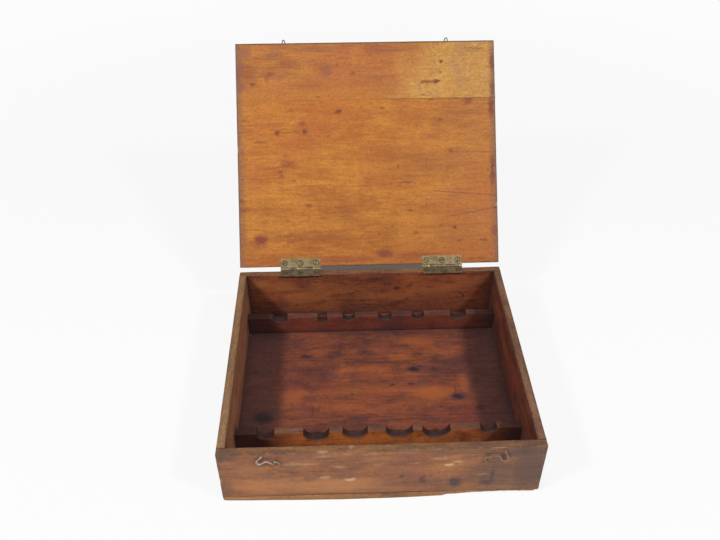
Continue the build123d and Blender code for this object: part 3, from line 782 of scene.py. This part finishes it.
front_pale = on_front(
    (-32, 30, 6.4, 2.8, 0.75), (-57, 35, 6, 3.4, 0.35), (66.5, 50, 4.6, 2.1, 0.95),
    (75, 54.2, 6, 1.6, 0.6), (-42, 51, 5, 2.0, 0.3), (55, 60, 9, 1.6, 0.35), (101, 33, 8, 1.1, 0.22),
    (-82, 57, 20, 2.2, 0.25), (-12, 70, 12, 1.2, 0.25), (32, 54, 6, 1, 0.25), (-60, 68, 8, 2.0, 0.3),
    (-35, 71, 5, 2.2, 0.25), (106, 61, 9, 1.4, 0.25),
) + [((-58, -138.6, 74.5), (6, 2.4, 2), 0.35), ((-30, -134, 75), (4, 3, 2), 0.3)]
floor_amber = on_floor(
    (52, 78, 24, 9, 0.47), (67, -6, 27, 15, 0.64), (48, -20, 28, 10, 0.28), (-92, -8, 20, 14, 0.38),
    (33, 51, 18, 6, 0.38), (-12, 0, 46, 14, 0.3), (-30, -22, 50, 9, 0.16), (-10, 36, 40, 8, 0.21),
    (104, 8, 8, 14, 0.34), (-95, 100, 14, 5, 0.26), (75, 60, 16, 6, 0.26),
)
floor_red = on_floor((-20, 106, 100, 8, 0.8), (70, 104, 50, 8, 0.8), (-60, 80, 40, 8, 0.25))
floor_plum = on_floor(
    (62, 32, 26, 8, 0.6), (74, 30, 9, 6, 0.6), (94, 43, 28, 11, 0.5), (97, -13, 14, 8, 0.6),
    (-10, 63, 13, 5, 0.6), (-43, 60, 10, 3.4, 0.5), (-60, 50, 22, 6, 0.4), (-92, 35, 12, 4, 0.45),
    (-60, 25, 24, 11, 0.4), (-77, -11, 13, 7, 0.6), (6, 87, 12, 3.6, 0.55), (35, 72, 24, 4, 0.5),
    (14, 107, 18, 4, 0.5), (52, 8, 22, 8, 0.35), (5, 60, 22, 5, 0.35), (-4, -24, 12, 5, 0.4),
    (-80, -24, 10, 10, 0.4), (98, 76, 22, 8, 0.35), (-30, 96, 40, 5, 0.3),
)
floor_ink = on_floor(
    (48, 32, 9, 4.4, 0.95), (57, 36, 6, 2, 0.5), (95.5, -13, 8, 5, 0.95), (94, -3, 1.6, 9, 0.5),
    (-128, -38, 13, 10, 0.8), (-81, 56.5, 8, 4.2, 0.75), (20.7, 7, 4.6, 2.4, 0.7), (42, 8, 4, 2.2, 0.55),
    (73.8, -27, 2.2, 1.8, 0.85), (-26, -5.5, 2.4, 2.0, 0.6), (-72, -28, 2.0, 10, 0.45),
    (-10, 62, 5, 2, 0.5), (-43, 61, 5, 1.6, 0.5), (72, 31, 5, 3, 0.45), (-76, 34, 5, 2, 0.4),
    (36, 71, 8, 1.4, 0.45), (8, 88, 7, 1.6, 0.5), (120, -30, 5, 6, 0.5),
)
rear_amber = on_rear(
    (-140, 60, 18, 8, 0.75), (-112, 55, 26, 10, 0.55), (-51, 50, 40, 10, 0.35), (80, 45, 40, 14, 0.35),
    (-85, 38, 34, 12, 0.35), (20, 36, 50, 8, 0.3), (125, 56, 20, 6, 0.3),
)
rear_dark = on_rear(
    (114, 40, 3, 2.0, 0.85), (118, 36, 2, 3.8, 0.9), (34, 49, 4.6, 3.0, 0.8), (7, 65.5, 11, 1.6, 0.65),
    (-26, 42.5, 10, 2.6, 0.55), (-39, 41, 4, 2, 0.5), (45, 30, 4.4, 2.2, 0.5), (-15, 46, 5, 2, 0.5),
    (76, 50, 7, 1.3, 0.5), (18, 66, 14, 1.0, 0.55), (15, 45, 12, 4, 0.4), (22, 57, 8, 2.4, 0.45),
    (48, 52, 4, 3, 0.4), (100, 57, 8, 1.4, 0.5), (-70, 62, 12, 1.2, 0.4), (136, 50, 8, 2, 0.4),
    (-5, 30, 14, 3, 0.35), (60, 38, 5, 1.6, 0.4), (-60, 30, 6, 2, 0.35),
)
rear_rack_soot = [
    ((-30, 111, 24), (34, 12, 12), 0.55), ((10, 111, 26), (12, 12, 8), 0.5),
    ((95, 111, 26), (9, 12, 8), 0.45), ((-118, 111, 26), (16, 12, 10), 0.5),
]
rear_rack_amber = [((88, 111, 28), (15, 9, 3), 0.7), ((-90, 111, 28), (14, 9, 3), 0.3)]
front_rack_soot = [
    ((52, -91, 10), (5, 5, 4), 0.6), ((-95, -91, 8), (14, 6, 5), 0.4), ((30, -91, 22), (18, 6, 5), 0.3),
]
right_red = [((153.5, 70, 55), (3, 16, 7), 0.5), ((153.5, -30, 58), (3, 20, 8), 0.4)]

front_marks = ((front_amber, paint(186, 126, 76)), (front_slate, umber),
               (front_stains_and_hook_shadows, paint(56, 48, 52)), (front_pale, chipped))
rear_marks = ((rear_amber, paint(170, 104, 58)), (rear_dark, soot))
left_rim = worn_rim(22, paint(112, 74, 46), paint(164, 112, 64), 0.7)
right_rim = worn_rim(14, paint(90, 56, 44), paint(138, 84, 58), 0.6)
front_wood = aged_wood("front_wood", rear_inner, front_outer, front_top, 21, front_marks, blotch=0.16,
                       seam=0.08)
rear_wood = aged_wood("rear_wood", rear_inner, chest_outer, front_top, 27, rear_marks, blotch=0.3,
                      flecks=0.95, lined=0.42, seam=0.5)
left_wood = aged_wood("left_wood", left_inner, chest_outer, wall_top, 33, blotch=0.25, seam=0.5,
                      soiled=(0.2, 0.75), extra=left_rim)
right_wood = aged_wood("right_wood", right_inner, chest_outer, right_top, 35,
                       ((right_red, paint(146, 62, 48)),), blotch=0.4, seam=0.5, soiled=(0.2, 0.75),
                       extra=right_rim)
floor_marks = ((floor_red, paint(142, 68, 52)), (floor_amber, amber), (floor_plum, plum), (floor_ink, ink))
# The floor's bands along the side walls are dust and a painted shadow of the walls.
floor_wood = aged_wood("floor_wood", floor_inner, bottom_edge, floor_inner, 39, floor_marks, blotch=0.5,
                       flecks=0.9, seam=0.4, grime_and_shade=0.58, extra=dust_and_wall_shadows)
rack_finish = {"flecks": 0.7, "soiled": (0.4, 0.9)}
# The darker colour given for each rack's face is a painted shadow of the side walls over its ends.
rear_rack_wood = aged_wood("rear_rack_wood", rack_inner, rack_notch, rear_rack_top, 45,
                           ((rear_rack_soot, ink), (rear_rack_amber, paint(164, 80, 52))),
                           blotch=0.6, worn=0.12, grime_and_shade=0.7, **rack_finish,
                           extra=rack_face_and_wall_shadows(122, paint(66, 40, 40), paint(138, 66, 46), 0.4))
front_rack_wood = aged_wood("front_rack_wood", front_rack_inner, rack_notch, front_rack_top, 47,
                            ((front_rack_soot, soot),), blotch=0.4, worn=0.15, grime_and_shade=0.6, **rack_finish,
                            extra=rack_face_and_wall_shadows(114, paint(62, 38, 38), paint(206, 118, 54), 0.95))

front_nails = nail_heads("front_wall_nails", 1, 0)
rear_nails = nail_heads("rear_wall_nails", 1, 1)
bottom_nails = nail_heads("bottom_nails", 2, 0)
rack_nails = nail_heads("front_rack_nails", 0) + nail_heads("rear_rack_nails", 0)

bottom_edge_worn_from = 68 * MM
bottom_edge_bulge = 2.9 * MM


def bulging_edge(points, flat):
    """Front edge of the bottom board, which stands out a little in front of the wall."""
    share = np.clip((flat[:, 0] - chest_low[0]) / (bottom_edge_worn_from - chest_low[0]), 0, 1)
    swell = np.sin(math.pi * np.clip(share * 0.8 + 0.02, 0, 1))
    near_front = np.clip(1 - (flat[:, 1] - chest_low[1]) / (14 * MM), 0, 1)
    ended = np.clip((bottom_edge_worn_from - flat[:, 0]) / (6 * MM), 0, 1)
    lower = np.clip(1 - flat[:, 2] / floor_top, 0, 1) ** 0.6
    points[:, 1] -= bottom_edge_bulge * swell * near_front * ended * (0.12 + 0.88 * lower)
    return points


front_wall = worn_board(
    "front_wall", "chest", 0, 23, outer=[LOW_X, HIGH_X, LOW_Y, HIGH_Z], joined=[LOW_Z], edge_wear=1.0,
    nails=front_nails,
    bites=[((-58 * MM, chest_low[1] - 0.4 * MM, chest_high[2] + 0.3 * MM), (8, 1.8, 1.4), 0.2),
           ((57 * MM, inner_low[1] + 0.4 * MM, chest_high[2] + 0.2 * MM), (3.5, 1.8, 1.6), 0.2),
           ((112 * MM, chest_low[1] - 0.6 * MM, chest_high[2] + 0.4 * MM), (16, 1.6, 1.7), 0.2),
           ((chest_low[0] - 0.3 * MM, chest_low[1] - 0.3 * MM, 33 * MM), (3, 2.0, 5), 0.25),
           ((66 * MM, chest_low[1] - 1.0 * MM, 51 * MM), (4, 1.5, 2.0), 0.3),
           ((-34 * MM, chest_low[1] - 1.0 * MM, 30 * MM), (5, 1.4, 2.2), 0.3)],
)
rear_wall = worn_board(
    "rear_wall", "chest", 0, 29, outer=[LOW_X, HIGH_X, HIGH_Y, HIGH_Z], joined=[LOW_Z], edge_wear=1.2,
    nails=rear_nails, recesses=wall_recesses,
)
left_wall = worn_board(
    "left_wall", "chest", 1, 31, outer=[LOW_X, HIGH_Z], joined=[LOW_Y, HIGH_Y, LOW_Z], edge_wear=1.4,
    joint_wear=0.35, nails=[nail for nail in rack_nails if nail[0] < 0],
)
right_wall = worn_board(
    "right_wall", "chest", 1, 37, outer=[HIGH_X, HIGH_Z], joined=[LOW_Y, HIGH_Y, LOW_Z], edge_wear=1.4,
    joint_wear=0.35, nails=[nail for nail in rack_nails if nail[0] > 0],
)
bottom_seam = board_box("bottom_board_front")[1][1]
bottom_front = worn_board(
    "bottom_board_front", "chest", 0, 41, outer=[LOW_X, HIGH_X, LOW_Y, LOW_Z], joined=[HIGH_Z, HIGH_Y],
    edge_wear=1.5, nails=[nail for nail in bottom_nails if nail[1] < bottom_seam],
    bites=[((122 * MM, chest_low[1] - 2.4 * MM, -2.8 * MM), (62, 6.6, 6.8), 0.07),
           ((chest_high[0] + 1.0 * MM, chest_low[1] - 1.5 * MM, -0.5 * MM), (9, 6, 5), 0.12),
           ((chest_low[0] - 1.0 * MM, chest_low[1] - 1.0 * MM, -1.0 * MM), (6, 3.4, 3.2), 0.12)],
    shape=bulging_edge, depth_outside=5.0,
)
bottom_rear = worn_board(
    "bottom_board_rear", "chest", 0, 43, outer=[LOW_X, HIGH_X, HIGH_Y, LOW_Z], joined=[HIGH_Z, LOW_Y],
    nails=[nail for nail in bottom_nails if nail[1] > bottom_seam], depth_outside=5.0,
)
chest_boards = [
    (front_wall, front_wood, "wall_wood"), (rear_wall, rear_wood, "wall_wood"),
    (left_wall, left_wood, "wall_wood"), (right_wall, right_wood, "wall_wood"),
    (bottom_front, floor_wood, "bottom_wood"), (bottom_rear, floor_wood, "bottom_wood"),
]
for piece, wood, slot in chest_boards:
    piece.data.materials.append(wood)


# Tool racks

same_place = 0.02 * MM
foot_reach = 9 * MM


def top_outline(node):
    """Top outline of a rack from left to right, read from the front face of its node."""
    low, high = board_box(node)
    columns = {}
    for vertex in nodes[node].data.vertices:
        x, y, z = vertex.co
        if abs(y - low[1]) < on_surface and z > low[2] + 5 * MM:
            columns.setdefault(round(x / same_place), {})[round(z / same_place)] = (x, z)
    outline = []
    for key in sorted(columns):
        column = [columns[key][height] for height in sorted(columns[key])]
        if outline and abs(column[-1][1] - outline[-1][1]) < abs(column[0][1] - outline[-1][1]):
            column.reverse()
        outline += column
    return np.array(outline), low, high


def resampled(outline, step):
    """Outline with points at an even step, its corners kept."""
    points = []
    for start, end in zip(outline[:-1], outline[1:]):
        count = max(1, int(np.ceil(np.linalg.norm(end - start) / step)))
        points += [start + (end - start) * part / count for part in range(count)]
    return np.array(points + [outline[-1]])


def worn_rack(node, seed):
    """Notched rack with its edges rounded by use, in place of its CAD node."""
    outline, low, high = top_outline(node)
    top = resampled(outline, 1.1 * MM)
    run = np.concatenate(([0], np.cumsum(np.linalg.norm(np.diff(top, axis=0), axis=1))))
    foot = np.empty(len(top))
    for item, along in enumerate(run):
        reach = min(foot_reach, along, run[-1] - along)
        inside = np.linspace(along - reach, along + reach, 25)
        foot[item] = np.interp(inside, run, top[:, 0]).mean()
    across = np.gradient(top, axis=0)
    across /= np.maximum(np.linalg.norm(across, axis=1, keepdims=True), 1e-9)
    normal = np.stack((-across[:, 1], across[:, 0]), 1)

    depth = graded(low[1], high[1], 1.2 * MM, thickness_ends)
    rise = np.concatenate((np.linspace(0, 0.80, 10), [0.86, 0.91, 0.945, 0.97, 0.985, 0.994, 1.0]))
    grid, faces = block([np.arange(len(top), dtype=float), depth, rise])
    column = grid[:, 0].astype(int)
    share = grid[:, 2]
    out = normal[column]
    x = foot[column] + share * (top[column, 0] - foot[column])
    z = low[2] + share * (top[column, 1] - low[2])
    flat = np.stack((x, grid[:, 1], z), 1)

    gap = np.linalg.norm(flat[:, None, [0, 2]] - top[None], axis=2)
    nearest = gap.argmin(1)
    at_top = share > 1 - 1e-9
    below = np.where(at_top, 0.0, gap.min(1))
    out = np.where(at_top[:, None], out, normal[nearest])
    beside = np.minimum(flat[:, 1] - low[1], high[1] - flat[:, 1])
    radius = np.clip(1.3 + 0.5 * wobble(flat, 16 * MM, seed), 0.6, 2.0) * MM
    away_top = np.maximum(radius - below, 0)
    away_side = np.maximum(radius - beside, 0)
    pull = radius / np.maximum(np.hypot(away_top, away_side), radius)
    dent = (0.07 * (1 + wobble(flat, 26 * MM, seed + 1)) + 0.09 * (1 + wobble(flat, 6 * MM, seed + 2))) * MM
    sink = away_top * (1 - pull) + dent * (below < 1e-9)
    inward = away_side * (1 - pull) + dent * (beside < 1e-9)
    points = flat.copy()
    points[:, 0] -= out[:, 0] * sink
    points[:, 2] -= out[:, 1] * sink
    middle = (low[1] + high[1]) / 2
    points[:, 1] += np.where(flat[:, 1] < middle, inward, -inward)
    points[:, 0] = np.clip(points[:, 0], low[0], high[0])

    on_end = (column == 0) | (column == len(top) - 1)
    notch = np.clip((high[2] - top[column, 1]) / (1.5 * MM), 0, 1) * np.exp(-below / (1.2 * MM))
    values = {
        "grain": flat,
        "place": flat,
        "outside": notch * (1 - on_end),
        "top": np.clip(1 - (high[2] - z) / (0.6 * MM), 0, 1) * np.exp(-below / (0.5 * MM)),
        "wear": np.exp(-(below + np.maximum(beside, 0)) / (1.6 * MM)),
        "joint": np.exp(-(z - low[2]) / (0.7 * MM)),
        # Dirt and painted shade in the corners and along the rack's foot, where it meets the floor.
        "grime_and_shade": np.maximum(corner_grime_and_shade(flat), 0.8 * np.exp(-(z - low[2]) / (6 * MM))),
    }
    piece = make_piece(node + "_worn", points, faces, chest_place, "chest", values, smooth_angle=50)
    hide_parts(node)
    return piece


for node, seed, wood in (("front_tool_rack", 51, front_rack_wood), ("rear_tool_rack", 57, rear_rack_wood)):
    rack = worn_rack(node, seed)
    rack.data.materials.append(wood)


# Metal

def screw_axes(node):
    """Middle of the head, outward direction and radius of each screw of a hinge leaf."""
    on_the_lid = "_lid_" in node
    place = lid_open if on_the_lid else chest_place
    outward = place.to_3x3() @ Vector((0, 0, -1 if on_the_lid else 1))
    axes = []
    for low, high in node_solids(node, place):
        middle = Vector((low + high) / 2)
        middle.z = low[2] if on_the_lid else high[2]
        axes.append((place @ middle, outward, float(high[0] - low[0]) / 2))
    return axes


def metal(name, clean, tarnish, dirt, metallic, seed, rough=(0.35, 0.6), screws=(), heads=False,
          rings=None):
    """Old metal with tarnish in patches, dirt in its fine pits and round its screws' heads."""
    g = Graph(bpy.data.materials.new(name))
    spot = g.add("ShaderNodeTexCoord").outputs["Object"]
    place = g.vector("ADD", spot, (seed, seed, seed))
    broad = g.noise(place, 140.0, 4, 0.6)
    fine = g.noise(place, 1100.0, 3, 0.6)
    scratch = g.noise(g.vector("MULTIPLY", place, (250, 2600, 2600)), 1.0, 2, 0.5)
    color = g.mix(g.band(broad, 0.42, 0.62), clean, tarnish)
    color = g.mix(g.band(fine, 0.50, 0.72, 0.0, 0.6), color, dirt)
    color = g.mix(g.band(scratch, 0.60, 0.75, 0.0, 0.4), color, clean)
    for centre, axis, radius in screws:
        away = g.vector("SUBTRACT", spot, centre)
        off_axis = g.vector("LENGTH", g.vector("CROSS_PRODUCT", away, axis))
        if heads:
            deep = g.vector("DOT_PRODUCT", away, axis)
            mask = g.band(deep, -0.12 * MM, -0.3 * MM, 0.0, 0.9)
            rim = g.band(off_axis, radius - 0.75 * MM, radius - 0.2 * MM, 0.0, 0.85)
            near = g.math("LESS_THAN", off_axis, radius + 1 * MM)
            mask = g.times(g.most(mask, rim), near)
        else:
            off_rim = g.distance(g.minus(off_axis, radius))
            mask = g.band(off_rim, 0.75 * MM, 0.2 * MM, 0.0, 0.85)
        color = g.mix(mask, color, rings)
    height = g.plus(g.times(fine, 0.5), g.times(scratch, 0.3))
    roughness = g.band(g.plus(broad, g.times(fine, 0.5)), 0.5, 1.1, *rough)
    return g.surface(color, roughness, height, 0.1 * MM, 0.5, Metallic=metallic)


wires = {
    "left": metal("left_wire", paint(190, 180, 170), paint(140, 126, 114), paint(66, 52, 46), 0.55, 4.9),
    "right": metal("right_wire", paint(148, 122, 100), paint(116, 86, 66), paint(70, 48, 38), 0.4, 6.1),
}
staple_wire = metal("staple_wire", paint(112, 100, 94), paint(84, 72, 68), paint(52, 42, 40), 0.5, 7.3)
iron_rough = (0.5, 0.75)
pivot_iron = metal("pivot_iron", paint(104, 90, 78), paint(84, 66, 54), paint(48, 36, 30), 0.4, 8.9,
                   iron_rough)
nail_iron = metal("nail_iron", paint(138, 98, 70), paint(112, 78, 58), paint(84, 58, 44), 0.15, 5.3,
                  iron_rough)


def soften(piece, width):
    """Fine bevel on the edges of a metal piece."""
    weld = piece.modifiers.new("weld", "WELD")
    weld.merge_threshold = 0.002 * MM
    flat = piece.modifiers.new("flat", "DECIMATE")
    flat.decimate_type = "DISSOLVE"
    flat.angle_limit = math.radians(0.5)
    bevel = piece.modifiers.new("edge", "BEVEL")
    bevel.width = width
    bevel.segments = 2
    bevel.limit_method = "ANGLE"
    bevel.angle_limit = math.radians(30)
    bevel.harden_normals = False


def dress(node, material, width=0.0):
    """Give a metal node its material, and soft edges where a width is given."""
    piece = nodes[node]
    if width:
        soften(piece, width)
    piece.data.materials.clear()
    piece.data.materials.append(material)


brass_tones = {
    "lid": (paint(161, 140, 98), paint(122, 105, 73), paint(64, 52, 38), 0.5),
    "chest": (paint(134, 118, 92), paint(98, 86, 68), paint(52, 44, 36), 0.5),
}
ring_tones = {"lid": brass_tones["lid"][2], "chest": paint(80, 70, 56)}
for side in ("left", "right"):
    for part, tones in brass_tones.items():
        screws = f"{side}_hinge_{part}_screws"
        round_screws = {"screws": screw_axes(screws), "rings": ring_tones[part]}
        name = f"{side}_{part}"
        leaf_brass = metal(name + "_leaf_brass", *tones, len(name) * 1.7, **round_screws)
        head_brass = metal(name + "_screw_brass", *tones, len(name) * 2.3, heads=True, **round_screws)
        dress(f"{side}_hinge_{part}_leaf", leaf_brass, 0.15 * MM)
        dress(screws, head_brass, 0.12 * MM)
        if part == "chest":
            dress(f"{side}_hinge_pin", leaf_brass, 0.2 * MM)
    dress(f"{side}_hook", wires[side])
    dress(f"{side}_hook_pivot", pivot_iron)
    dress(f"{side}_lid_staple", staple_wire)
for part in ("front_wall", "rear_wall", "bottom", "front_rack", "rear_rack"):
    dress(part + "_nails", nail_iron)


# Floor, light and camera

WHITE = (1.0, 1.0, 1.0, 1.0)
GLOW = 0.975
floor_reach = 6.0
shadow_middle_x = 0.012
shadow_near_y = 0.03
shadow_neck_y = 0.229
chest_middle = Vector((0, 0, 0.05))
lamp_distance = 2.0
lamp_size = 0.22
camera_place = (-0.03692, -0.61008, 0.68618)
camera_turn, camera_tilt, camera_roll = -1.854, 50.779, -0.10


def shadow_clear(g, spot):
    """Where the floor may glow white: away from the chest's shadow, which narrows to a neck behind it."""
    x = g.axis(spot, "X")
    y = g.axis(spot, "Y")
    behind = g.minus(y, shadow_neck_y)
    spread = g.math("MINIMUM", g.scaled(g.distance(behind), 0.5, 0.03), 0.075)
    aside = g.minus(g.distance(g.minus(x, shadow_middle_x)), 0.095)
    beside = g.band(g.math("DIVIDE", aside, spread), 0.0, 1.0)
    past = g.most(behind, g.minus(shadow_near_y, y))
    return g.most(beside, g.band(past, 0.03, 0.20))


def stage_floor():
    """Plain pale floor that shows white to the camera and keeps the chest's shadow."""
    mesh = bpy.data.meshes.new("studio_floor")
    corners = [(x * floor_reach, y * floor_reach, 0) for x, y in ((-1, -1), (1, -1), (1, 1), (-1, 1))]
    mesh.from_pydata(corners, [], [(0, 1, 2, 3)])
    floor = link_object("studio_floor", mesh)
    g = Graph(bpy.data.materials.new("pale_floor"))
    rays = g.add("ShaderNodeLightPath").outputs
    seen = g.most(g.most(rays["Is Camera Ray"], rays["Is Glossy Ray"]), rays["Is Transmission Ray"])
    diffuse = g.add("ShaderNodeBsdfDiffuse", {"Color": paint(240, 240, 240)})
    glow = g.add("ShaderNodeEmission", {"Color": WHITE, "Strength": GLOW})
    spot = g.add("ShaderNodeTexCoord").outputs["Object"]
    far = g.band(g.vector("LENGTH", spot), 0.5, 1.6, 0.90, 1.0)
    white = g.times(g.times(seen, far), shadow_clear(g, spot))
    mesh.materials.append(g.output(g.blend(white, diffuse, glow)))


def lamp(name, direction, strength):
    """Square studio lamp that shines on the chest from a direction."""
    light = bpy.data.lights.new(name, "AREA")
    light.size = lamp_size
    light.energy = strength
    holder = link_object(name, light)
    toward = Vector(direction).normalized()
    holder.location = chest_middle + toward * lamp_distance
    holder.rotation_euler = toward.to_track_quat("Z", "Y").to_euler()


def studio():
    """Two soft lamps from upper left and upper right in front, and a pale surround."""
    lamp("lamp_left", (-0.60, -0.42, 0.76), 23.5)
    lamp("lamp_right", (0.55, -0.42, 0.80), 22)
    world = bpy.data.worlds.new("surround")
    bpy.context.scene.world = world
    g = Graph(world)
    rays = g.add("ShaderNodeLightPath").outputs
    fill = g.add("ShaderNodeBackground", {"Color": WHITE, "Strength": 0.22})
    backdrop = g.add("ShaderNodeBackground", {"Color": WHITE, "Strength": GLOW})
    seen = g.most(rays["Is Camera Ray"], rays["Is Transmission Ray"])
    g.output(g.blend(seen, fill, backdrop), "ShaderNodeOutputWorld")


def place_camera():
    """Camera at the photograph's viewing angle."""
    camera = bpy.data.cameras.new("camera")
    camera.sensor_width = 36.0
    camera.lens = 38.69
    camera.clip_start = 0.01
    holder = link_object("camera", camera)
    turn, tilt, roll = [
        Matrix.Rotation(math.radians(angle), 4, axis)
        for angle, axis in ((camera_turn, "Z"), (camera_tilt, "X"), (camera_roll, "Z"))
    ]
    holder.matrix_world = Matrix.Translation(camera_place) @ (turn @ tilt) @ roll
    bpy.context.scene.camera = holder


stage_floor()
studio()
place_camera()
bpy.context.scene.view_settings.view_transform = "Standard"
